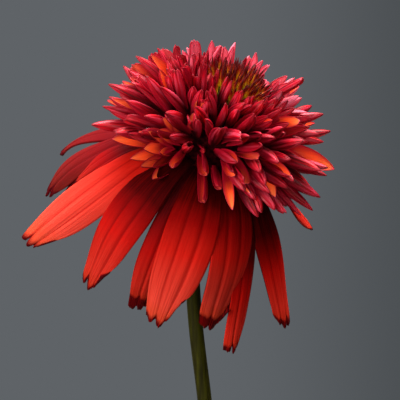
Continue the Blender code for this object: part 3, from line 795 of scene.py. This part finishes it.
def floret_places():
    """Each floret's place, size and share of the way down the dome, in a golden-angle spiral."""
    draw = random.Random(5)
    top, low = (cos(angle) for angle in FLORET_SPAN)
    for index in range(FLORET_COUNT):
        angle = acos(top + (low - top) * (index + 0.5) / FLORET_COUNT)
        way = index * GOLDEN_ANGLE % (2 * pi)
        share = (angle - FLORET_SPAN[0]) / (FLORET_SPAN[1] - FLORET_SPAN[0])
        parted = parting_share(way, angle)
        sag = share * cos(way - SAG_WAY)
        slope = between(FLORET_SLOPES, share) + SAG * sag
        slope += copysign(PARTING_PUSH * parted, angle - PARTING_ANGLE)
        slope += draw.uniform(-FLORET_JITTER, FLORET_JITTER)
        grown = min(1, share / FLORET_GROWN)
        length = between(FLORET_LENGTHS, grown) * (1 + SAG_GROWTH * sag)
        length *= draw.uniform(*FLORET_LENGTH_SPREAD)
        stunted = exp(-(turned_by(way, SHORT_WAY) / SHORT_REACH) ** 2)
        length *= 1 - SHORTENED * stunted * passed(share, SHORT_FROM, SHORT_OVER)
        width = between(FLORET_WIDTHS, grown) * draw.uniform(*FLORET_WIDTH_SPREAD)
        radius, height = core_point(angle)
        swing = draw.uniform(-FLORET_SWING, FLORET_SWING)
        place = grown_from(way, radius, height, min(slope, FLORET_STEEPEST), swing, FLORET_SUNK)
        curl = draw.uniform(0, FLORET_CURL)
        if parted < PARTING_BARE:
            yield place, length + FLORET_SUNK, width, curl, share, way


def add_floret(shape, place, length, width, curl, sway, roll, twist, grid, rows, teeth, vary, ripe):
    """Add one floret: a keeled blade rolled about its length, bent back and sideways to its tip."""
    def floret_point(across, along):
        share, wide = rows[round(along * grid[1])]
        part = roll / 2
        if roll > pi:
            radius, inset = width / 2, 0
        else:
            radius = width * OPEN_BLADE_WIDTH / sin(part)
            inset = radius * cos(part)
        around = across * part
        out = (radius * cos(around) - inset + FLORET_KEEL * width * (1 - abs(across)) ** 2) * wide
        aside = radius * sin(around) * wide
        turn = twist * share
        bend = length * curl * share * share / 2
        if round(along * grid[1]) == grid[1]:
            share += teeth * FLORET_TEETH[round((across + 1) * 3)]
        return place @ Vector((
            out * cos(turn) - aside * sin(turn) + bend,
            out * sin(turn) + aside * cos(turn) + length * sway * share * share / 2,
            share * length,
        ))

    add_blade(shape, grid, floret_point, FLORET_THICKNESS, 0, vary, ripe)


flat_angle = acos((CORE_FLAT_TOP - CORE_CENTRE) / CORE_HALF_HEIGHT)
base_angle = acos(-CORE_CENTRE / CORE_HALF_HEIGHT)
shares = [step / CORE_STEPS for step in range(CORE_STEPS + 1)]
arc = [core_point(between((flat_angle, base_angle), share)) for share in shares]
florets_shape = spun([(0, CORE_FLAT_TOP)] + arc + [(0, 0)], CORE_SIDES)
for face in florets_shape.faces:
    face.material_index = 1
look = random.Random(8)
for place, length, width, curl, share, way in floret_places():
    tidy = cos(way - TIDY_WAY)
    pick = look.random()
    kind = CANOE
    if pick < SPINDLES_TO[0] + SPINDLES_TO[1] * tidy:
        kind = SPINDLE
    elif pick > STRAPS_FROM[0] + STRAPS_FROM[1] * tidy:
        kind = STRAP
    ripe = share * look.random() ** 2
    if look.random() < OPEN_SHARE:
        ripe = 1
    if parting_share(way, between(FLORET_SPAN, share)) > TORN_FROM and look.random() < TORN_SHARE:
        kind = STRAP
        ripe = look.uniform(*TORN_RIPE)
    if share > HUNG_FROM and HUNG_WAYS[0] < way < HUNG_WAYS[1]:
        continue
    least, most, slim, rows, teeth, twist, turn = kind
    face_up = ripe > OPEN_FROM or kind is STRAP
    over = 0 if face_up else pi * passed(share, OVER_FROM, OVER_REACH)
    place = place @ Matrix.Rotation(over + look.uniform(-turn, turn), 4, "Z")
    curl *= look.uniform(*FLORET_CURL_SPREAD)
    sway = look.uniform(-FLORET_SWAY, FLORET_SWAY)
    roll = radians(look.uniform(least, most))
    twist = look.uniform(-twist, twist)
    pink = PINK_BY_CHANCE * look.random()
    pink += PINK_BY_BACKLIGHT * ((1 - share) * max(0, -cos(way - PARTING_WAY)))
    add_floret(florets_shape, place, length, width * slim, curl, sway, roll, twist, FLORET_GRID, rows,
               teeth, pink, ripe)

# Under the parting single florets hang in front of the gap, curled, torn or open to their orange faces.
# A few more are set where the photo shows an open one or a long one. Each: root x, y, z and tip x, y, z
# in mm from the head's centre, width in mm, roll and turn of its open side away from the front in
# degrees, curl, how ripe it is, and whether its end is toothed.
FRONT_TWIST = 0.3
FRONT_PINK = 0.75
FRONT_FLORETS = (
    (-9.2, -2.5, 2.3, -22.7, -11.4, 5.5, 3.8, 150, 35, 0.3, 1, 0),
    (-9.6, -2.1, 3.3, -19.1, -13.9, 6.8, 2.6, 240, 20, 0.2, 0, 0),
    (-7.9, -6.9, 1.8, -13.0, -18.1, 7.8, 3.0, 150, 35, 0.35, 1, 0),
    (-6.4, -9.5, 3.3, -11.4, -18.3, 7.7, 3.2, 150, 35, 0.3, 1, 0),
    (-8.4, -5.8, 1.9, -13.6, -18.0, 3.8, 3.3, 150, 30, 0.4, 1, 0),
    (-8.5, -2.9, 0.4, -16.9, -16.5, 1.9, 3.0, 150, 35, 0.4, 1, 0),
    (-8.0, -3.1, -0.6, -14.9, -17.4, -0.1, 2.7, 160, 30, 0.3, 0.75, 0),
    (-7.4, -6.7, 0.5, -12.9, -19.4, 0.0, 2.4, 230, 35, 0.2, 0.3, 0),
    (-7.5, -3.3, -1.7, -12.6, -18.2, -2.2, 3.0, 170, 45, 0.3, 0.9, 0),
    (-5.9, -9.6, 2.1, -9.7, -18.5, -1.5, 2.4, 240, 30, -0.2, 0.8, 1),
    (-5.9, -9.1, 1.0, -5.8, -17.5, 4.6, 2.6, 330, 90, -0.2, 0, 1),
    (-2.3, -11.9, 2.0, -1.9, -20.7, -2.2, 2.7, 260, 40, 0.1, 0.5, 1),
    (-2.5, -10.6, -0.7, -0.8, -20.2, -10.5, 2.6, 230, 30, -0.3, 0.4, 1),
    (0.7, -11.1, -1.4, 1.6, -19.5, -6.3, 2.2, 300, 60, 0.1, 0.3, 1),
    (2.9, -12.2, 0.8, 4.8, -21.3, -2.4, 2.6, 270, 30, 0.1, 0.8, 1),
    (3.4, -11.6, -0.6, 4.7, -20.8, -10.2, 2.6, 110, 15, 0.3, 1, 0),
    (3.9, -11.0, -1.4, 5.1, -21.6, -5.3, 1.8, 100, 50, 0.9, 0.9, 0),
    (-3.2, -11.7, 3.0, -2.4, -17.6, 2.4, 1.8, 150, 50, 0.3, 0.6, 0),
    (-4.9, -10.8, 4.3, -4.3, -18.0, 11.1, 2.2, 110, -20, 0.3, 0.9, 1),
    (-6.2, -9.8, 4.1, -8.3, -18.2, 8.7, 2.4, 120, -20, 0.3, 0.8, 1),
    (-8.5, -4.0, 0.5, -10.8, -17.7, 2.5, 2.2, 180, 40, 0.2, 0.9, 0),
    (11.3, -2.9, -1.8, 15.0, -17.2, -5.4, 3.2, 110, -30, 0.5, 1, 0),
    (13.1, -1.9, 2.7, 30.8, -6.6, -2.8, 4.4, 120, -30, 0.3, 1, 0),
    (13.0, -1.0, 6.1, 18.4, -16.0, 10.1, 2.6, 110, -40, 0.4, 1, 1),
    (-5.0, 0.5, 13.5, -12.4, -8.2, 24.6, 3.0, 110, 35, 0.4, 0.8, 0),
    (-9.5, -1.2, 7.5, -23.0, -7.6, 14.4, 2.2, 130, 30, 0.3, 0.75, 0),
    (10.9, 0.1, 10.3, 24.1, -6.7, 17.0, 2.8, 150, 60, 0.2, 0.2, 1),
    (-9.8, -1.7, 5.2, -29.5, -3.5, 7.3, 3.6, 230, 170, 0.15, 0, 0),
    (-8.8, -2.8, 0.7, -19.4, -17.3, 9.1, 2.8, 240, 120, 0.2, 0, 0),
    (-9.2, -2.5, 1.7, -12.6, -20.3, 6.9, 2.0, 140, 30, 0.3, 0.85, 0),
    (-9.4, -2.4, 2.3, -14.6, -18.0, 7.1, 2.6, 230, 60, 0.3, 0.1, 0),
    (11.2, -3.1, -1.8, 24.4, -9.6, -14.4, 2.7, 230, 30, 0.2, 0.1, 0),
    (10.9, -3.2, -2.2, 20.1, -11.2, -15.8, 2.4, 230, 60, 0.3, 0, 0),
    (10.3, -3.3, -2.8, 17.0, -10.9, -16.2, 2.2, 220, 120, 0.3, 0.1, 1),
    (-1.0, -12.1, 7.0, -3.1, -20.2, 14.6, 2.8, 130, -20, 0.2, 1, 1),
    (-6.4, -9.6, 5.1, -10.0, -20.9, 10.4, 2.4, 130, 20, 0.3, 0.85, 0),
    (12.4, -2.6, 0.2, 28.1, -8.5, -6.1, 2.6, 230, 30, 0.2, 0.1, 0),
    (11.8, -2.9, -0.9, 25.9, -6.0, -12.7, 2.4, 230, 90, 0.2, 0, 0),
    (-9.5, -0.8, 8.5, -24.8, -2.4, 17.9, 2.8, 230, 150, 0.2, 0, 0),
    (-10.0, -1.3, 6.6, -26.2, -4.1, 13.2, 2.4, 170, 120, 0.2, 0.7, 0),
)
florets_shape.transform(head_frame())
for row in FRONT_FLORETS:
    root, tip = (HEAD_CENTRE + Vector(ends) * MM for ends in (row[:3], row[3:6]))
    width, roll, turn, curl, ripe, teeth = row[6:]
    rows = TOOTHED_ROWS if teeth else POINTED_ROWS
    along = (tip - root).normalized()
    behind = (Vector((0, 1, 0)) - along * along.y).normalized()
    place = Matrix.Translation(root) @ Matrix((behind, along.cross(behind), along)).transposed().to_4x4()
    place = place @ Matrix.Rotation(radians(turn), 4, "Z")
    add_floret(florets_shape, place, (tip - root).length, width * MM, curl, 0, radians(roll),
               FRONT_TWIST, FLORET_GRID, rows, teeth, FRONT_PINK * look.random(), ripe)

# Young florets: slim, closed and pink, crowded round the crown.
YOUNG_COUNT = 46
YOUNG_ANGLES = (radians(34), radians(46))
YOUNG_SLOPES = (radians(3), radians(16))
YOUNG_LENGTHS = (6.0 * MM, 9.0 * MM)
YOUNG_LENGTH_SPREAD = (0.85, 1.15)
YOUNG_WIDTH = 1.6 * MM
YOUNG_ROLL = radians(250)
YOUNG_CURL = 0.2
YOUNG_TWIST = 0.4
YOUNG_PINK = (0.2, 0.9)
YOUNG_JITTER = 0.1
YOUNG_SUNK = 0.8 * MM
YOUNG_FIRST_WAY = 0.6
YOUNG_TALL_WAY = radians(215)
YOUNG_GROWTH = 0.35
YOUNG_GRID = (4, 4)
YOUNG_ROWS = ((0, 0.5), (0.35, 0.8), (0.65, 1.0), (0.88, 0.65), (1.0, 0.12))
for index in range(YOUNG_COUNT):
    share = (index + 0.5) / YOUNG_COUNT
    radius, rise = core_point(between(YOUNG_ANGLES, share))
    way = index * GOLDEN_ANGLE + YOUNG_FIRST_WAY
    slope = between(YOUNG_SLOPES, share) + look.uniform(-YOUNG_JITTER, YOUNG_JITTER)
    swing = look.uniform(-YOUNG_JITTER, YOUNG_JITTER)
    place = head_frame() @ grown_from(way, radius, rise, slope, swing, YOUNG_SUNK)
    tall = 1 + YOUNG_GROWTH * max(0, cos(way - YOUNG_TALL_WAY))
    length = between(YOUNG_LENGTHS, share) * tall * look.uniform(*YOUNG_LENGTH_SPREAD)
    curl = look.uniform(0, YOUNG_CURL)
    twist = look.uniform(-YOUNG_TWIST, YOUNG_TWIST)
    add_floret(florets_shape, place, length, YOUNG_WIDTH, curl, 0, YOUNG_ROLL, twist, YOUNG_GRID,
               YOUNG_ROWS, 0, look.uniform(*YOUNG_PINK), 0)

# Floret petal: smooth and a little waxy, so that its crimson back lights up pink along the roll. Its
# back has fine lengthwise stripes, partly its own streaks and partly painted highlight on the ridges and
# painted shade in the grooves. Its face runs from deep red to orange. Both sides are painted nearly
# black towards the root as the shade deep in the dome, and the margins are a darker crimson, partly
# their own and partly painted shade on the rolled sides. On the back of the top they turn pale pink with
# painted light from the lamp behind.
# An open floret's face lets the light behind it shine through, and so do both sides of a pale one on
# the top, so they give a little light. The stripes are about 0.4 to 0.9 mm wide, as coarse as they need
# to be to show.
THROUGH_LIGHT = 0.42
PALE_LIGHT = 0.3
# From and to which vary mark a floret turns pale pink with painted light from behind
PALE = (0.85, 1.4)
floret_skin, node, shade = new_surface("waxy crimson floret petal")
marks = read_marks(node, "along", "across", "vary", "face", "ripe")
along, vary = marks["along"], marks["vary"]
stripes_and_painted_light = petal_noise(node, marks, (4.5, 1.4, 90), 2)
# Crimson that differs by chance, turning pink at the top of the ramp, which only the painted backlight
# reaches
crimson = node("ValToRGB", {"stops": (
    (0.0, "#AE0310"), (0.3, "#C2051A"), (0.5, "#D00A20"), (0.7, "#D6120E"), (1.0, "#FF86A0"),
)}, {"Fac": vary})
back_tone = layered(node, crimson, (
    # Pink and dark stripes: partly the petal's own streaks, partly painted highlight on the ridges and
    # painted shade in the grooves
    (stripes_and_painted_light, 0.5, 0.6, 0.68, "#F4506E"),
    (stripes_and_painted_light, 0.48, 0.39, 0.88, "#5E0112"),
    # Painted shade: nearly black towards the root, deep in the dome
    (along, 0.78, 0.26, 1, "#2C0106"),
    (along, 0.78, 0.98, 0.85, "#7A0812"),
    # Painted light: pale pink on the florets lit from behind at the back of the top
    (vary, *PALE, 0.75, "#F07C92"),
))
# Painted shade: the face is nearly black at its root, deep in the dome
young_face = node("ValToRGB", {"stops": (
    (0.0, "#2C0106"), (0.45, "#8E0618"), (0.8, "#B81A38"), (1.0, "#8E0A20"),
)}, {"Fac": along})
# Painted light: the face of a backlit floret turns pale pink too
backlit_pale_face = layered(node, young_face, ((vary, *PALE, 1, "#F06A82"),))
# Painted shade: an open face is nearly black at its root too
ripe_face = node("ValToRGB", {"stops": (
    (0.0, "#2C0204"), (0.3, "#8E0C14"), (0.52, "#F25024"), (0.85, "#FF7A42"), (1.0, "#F0506C"),
)}, {"Fac": along})
face_tone = node("Mix", COLOURS, {SHARE: marks["ripe"], FIRST: backlit_pale_face, SECOND: ripe_face})
both_sides = node("Mix", COLOURS, {SHARE: marks["face"], FIRST: back_tone, SECOND: face_tone})
from_middle = node("Math", {"operation": "ABSOLUTE"}, {0: marks["across"]})
# Darker crimson margins: partly the petal's own rim, partly painted shade on the rolled sides
floret_tone = layered(node, both_sides, ((from_middle, 0.3, 0.95, 0.95, "#9C0A22"),))
fine_lines = petal_noise(node, marks, (5, 1.0, 70), 1)
relief = node("Bump", {"Strength": 0.7, "Distance": 0.3 * MM}, {"Height": fine_lines})
open_face = node("Math", {"operation": "MULTIPLY"}, {0: marks["ripe"], 1: marks["face"]})
through = node("MapRange", {"From Min": 0.4, "To Max": THROUGH_LIGHT}, {"Value": open_face})
pale = node("MapRange", {"From Min": PALE[0], "From Max": PALE[1], "To Max": PALE_LIGHT},
            {"Value": vary})
glow = node("Math", {"operation": "ADD"}, {0: pale, 1: through})
shade({
    "Roughness": 0.38, "Specular IOR Level": 0.16,
    "Subsurface Weight": 0.1, "Subsurface Scale": 0.5 * MM, "Subsurface Radius": (1.0, 0.2, 0.25),
}, {"Base Color": floret_tone, "Normal": relief, "Emission Color": floret_tone,
    "Emission Strength": glow})

# The core between them is rough and painted nearly black as the shade in the gaps, so that they look
# deep.
FIBRE_WIDTH = 0.8 * MM
core_skin, node, shade = new_surface("dark fibrous core")
fibres = mottled(node, FIBRE_WIDTH, 2)
fibre_tone = node("ValToRGB", {"stops": ((0.4, "#120103"), (0.65, "#2C0508"))}, {"Fac": fibres})
shade({"Roughness": 1.0, "Specular IOR Level": 0.0}, {"Base Color": fibre_tone})

florets = piece_of(florets_shape, "disc_florets", floret_skin, core_skin)
smoother = florets.modifiers.new("smooth rolls", "SUBSURF")
smoother.levels = 1
smoother.render_levels = 1
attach(florets, "root")
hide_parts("florets")

# ---- Crown
# The unopened middle of the flower: a low cap that bristles with narrow, stiff, pointed bracts, which
# are olive gold below and dark maroon at their tips. It sits on the flat top of the core.
CROWN_RADIUS = 7.0 * MM
CROWN_RISE = 2.3 * MM
CROWN_RIM = 0.5 * MM
CROWN_GAP = 0.3 * MM
CROWN_SIDES = 32
CROWN_STEPS = 8
SPIKE_COUNT = 115
SPIKE_LENGTH = 6.6 * MM
SPIKE_LENGTH_SPREAD = (0.7, 1.15)
SPIKE_RADIUS = 0.56 * MM
SPIKE_SIDES = 5
SPIKE_SUNK = 0.8 * MM
SPIKE_LEAN = radians(34)
SPIKE_JITTER = 0.14
# How wide a spike is along it, from its root to its point
SPIKE_RINGS = {0: 0.9, 0.35: 1.0, 0.7: 0.62, 1.0: 0.08}
crown_base = CORE_FLAT_TOP + CROWN_GAP
crown_skirt = crown_base + CROWN_RIM
cap = []
for step in range(CROWN_STEPS + 1):
    angle = step / CROWN_STEPS * pi / 2
    cap.append((CROWN_RADIUS * sin(angle), crown_skirt + CROWN_RISE * cos(angle)))
crown_shape = spun(cap + [(CROWN_RADIUS, crown_base), (0, crown_base)], CROWN_SIDES)
marks = mark_layers(crown_shape)
draw = random.Random(3)
for index in range(SPIKE_COUNT):
    share = sqrt((index + 0.5) / SPIKE_COUNT)
    radius = (CROWN_RADIUS - SPIKE_RADIUS) * share
    rise = crown_skirt + CROWN_RISE * sqrt(1 - (radius / CROWN_RADIUS) ** 2) - SPIKE_SUNK
    lean = SPIKE_LEAN * share ** 2 + draw.uniform(-SPIKE_JITTER, SPIKE_JITTER)
    swing = draw.uniform(-SPIKE_JITTER, SPIKE_JITTER)
    place = grown_from(index * GOLDEN_ANGLE, radius, rise, lean, swing)
    length = SPIKE_LENGTH * draw.uniform(*SPIKE_LENGTH_SPREAD)
    fresh = bmesh.ops.create_cone(crown_shape, cap_ends=True, segments=SPIKE_SIDES, radius1=SPIKE_RADIUS,
                                  radius2=SPIKE_RADIUS, depth=1,
                                  matrix=Matrix.Translation((0, 0, 0.5)))["verts"]
    spike = list({item for vert in fresh for item in (*vert.link_edges, *vert.link_faces)}) + fresh
    for ring in list(SPIKE_RINGS)[1:-1]:
        spike = bmesh.ops.bisect_plane(crown_shape, geom=spike, plane_co=(0, 0, ring),
                                       plane_no=(0, 0, 1))["geom"]
    vary = draw.random()
    for vert in {item for item in spike if isinstance(item, bmesh.types.BMVert)}:
        along = vert.co.z
        wide = SPIKE_RINGS[min(SPIKE_RINGS, key=lambda ring: abs(ring - along))]
        vert[marks["along"]], vert[marks["vary"]] = along, vary
        vert.co = place @ Vector((vert.co.x * wide, vert.co.y * wide, along * length))
crown_shape.transform(head_frame())

# Dry, stiff bract: olive gold at the root through rust to a dark maroon point, with a faint gloss.
bristle_skin, node, shade = new_surface("olive and maroon bract")
marks = read_marks(node, "along", "vary")
shifted = node("Math", {"operation": "MULTIPLY_ADD", 1: 0.25}, {0: marks["vary"], 2: marks["along"]})
bristle_tone = node("ValToRGB", {"stops": (
    (0.0, "#4A4602"), (0.40, "#C4B416"), (0.60, "#BC7416"), (0.74, "#92200E"), (0.92, "#4A080A"),
)}, {"Fac": shifted})
shade({"Roughness": 0.5, "Specular IOR Level": 0.08}, {"Base Color": bristle_tone})
crown = piece_of(crown_shape, "crown_bristles", bristle_skin)
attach(crown, "root")
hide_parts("crown")

# ---- Studio
# A pale round table top under the vase, which throws no light back up, so that the bloom's underside
# stays dark. The room behind is a mid grey, painted darker towards the right as the shade on a backdrop
# that the light falls on from the left.
FLOOR_RADIUS = 0.34
FLOOR_DROP = 0.2 * MM
FLOOR_SIDES = 128
CLOUDING = 60 * MM
floor_shape = bmesh.new()
bmesh.ops.create_circle(floor_shape, cap_ends=True, segments=FLOOR_SIDES, radius=FLOOR_RADIUS,
                        matrix=Matrix.Translation((0, 0, -FLOOR_DROP)))
pale_top, node, shade = new_surface("pale matt table top")
paper = mottled(node, CLOUDING, 4)
tone = node("ValToRGB", {"stops": ((0.3, "#787673"), (0.7, "#807E7B"))}, {"Fac": paper})
shade({"Roughness": 0.8}, {"Base Color": tone})
floor = piece_of(floor_shape, "table_top", pale_top)
floor.visible_diffuse = False

# The room's strength as a light, and how far right its painted shade is complete
ROOM_LIGHT = 0.25
ROOM_DARK_AT = 0.13
world = bpy.data.worlds.new("grey room")
world.use_nodes = True
bpy.context.scene.world = world
node = partial(add_node, world)
direction = node("TexCoord").outputs["Generated"]
sideways = node("SeparateXYZ", {}, {"Vector": direction}).outputs["X"]
# Painted shade: the backdrop darker towards the right, away from the light on the left
room_shade_share = node("MapRange", {"interpolation_type": "SMOOTHSTEP", "From Max": ROOM_DARK_AT},
                  {"Value": sideways})
room = node("Mix", {**COLOURS, FIRST: "#5F6367", SECOND: "#464A4D"}, {SHARE: room_shade_share})
seen = node("LightPath").outputs["Is Camera Ray"]
dimmed = node("MapRange", {"To Min": ROOM_LIGHT, "To Max": 1.0}, {"Value": seen})
set_node(world, "Background", {}, {"Color": room, "Strength": dimmed})

# Four square soft lights that face the head. Each: its direction from the head, its power and its colour
LIGHT_DISTANCE = 1.0
LIGHT_SIZE = 0.5
LIGHTS = {
    "back": ((-0.13, 0.35, 0.93), 22, "#FFF8F6"),
    "right": ((0.37, 0.07, 0.93), 17, "#FFF8F6"),
    "left": ((-0.75, -0.62, 0.23), 10.5, "#FFFAF2"),
    "front": ((0.05, -0.98, 0.17), 3.8, "#FFFAF6"),
}
for name, (way, power, colour) in LIGHTS.items():
    lamp = bpy.data.lights.new(name, "AREA")
    lamp.size = LIGHT_SIZE
    lamp.energy = power
    lamp.color = linear(colour)[:3]
    holder = new_object(name, lamp)
    holder.location = HEAD_CENTRE + Vector(way).normalized() * LIGHT_DISTANCE
    holder.rotation_euler = Vector(way).to_track_quat("Z", "Y").to_euler()

# The camera looks slightly down at the head with a long lens, from the front.
CAMERA_ELEVATION = radians(12)
CAMERA_DISTANCE = 560 * MM
CAMERA_ASIDE = -2.5 * MM
CAMERA_RISE = -12.75 * MM
CAMERA_LENS = 201.6
CAMERA_SENSOR = 36
right = Vector((1, 0, 0))
up = Vector((0, sin(CAMERA_ELEVATION), cos(CAMERA_ELEVATION)))
backwards = Vector((0, -cos(CAMERA_ELEVATION), sin(CAMERA_ELEVATION)))
lens = bpy.data.cameras.new("photo view")
lens.lens = CAMERA_LENS
lens.sensor_width = CAMERA_SENSOR
camera = new_object("photo view", lens)
camera.location = HEAD_CENTRE + right * CAMERA_ASIDE + up * CAMERA_RISE + backwards * CAMERA_DISTANCE
camera.rotation_euler = Matrix((right, up, backwards)).transposed().to_euler()
bpy.context.scene.camera = camera
bpy.context.scene.view_settings.view_transform = "Standard"
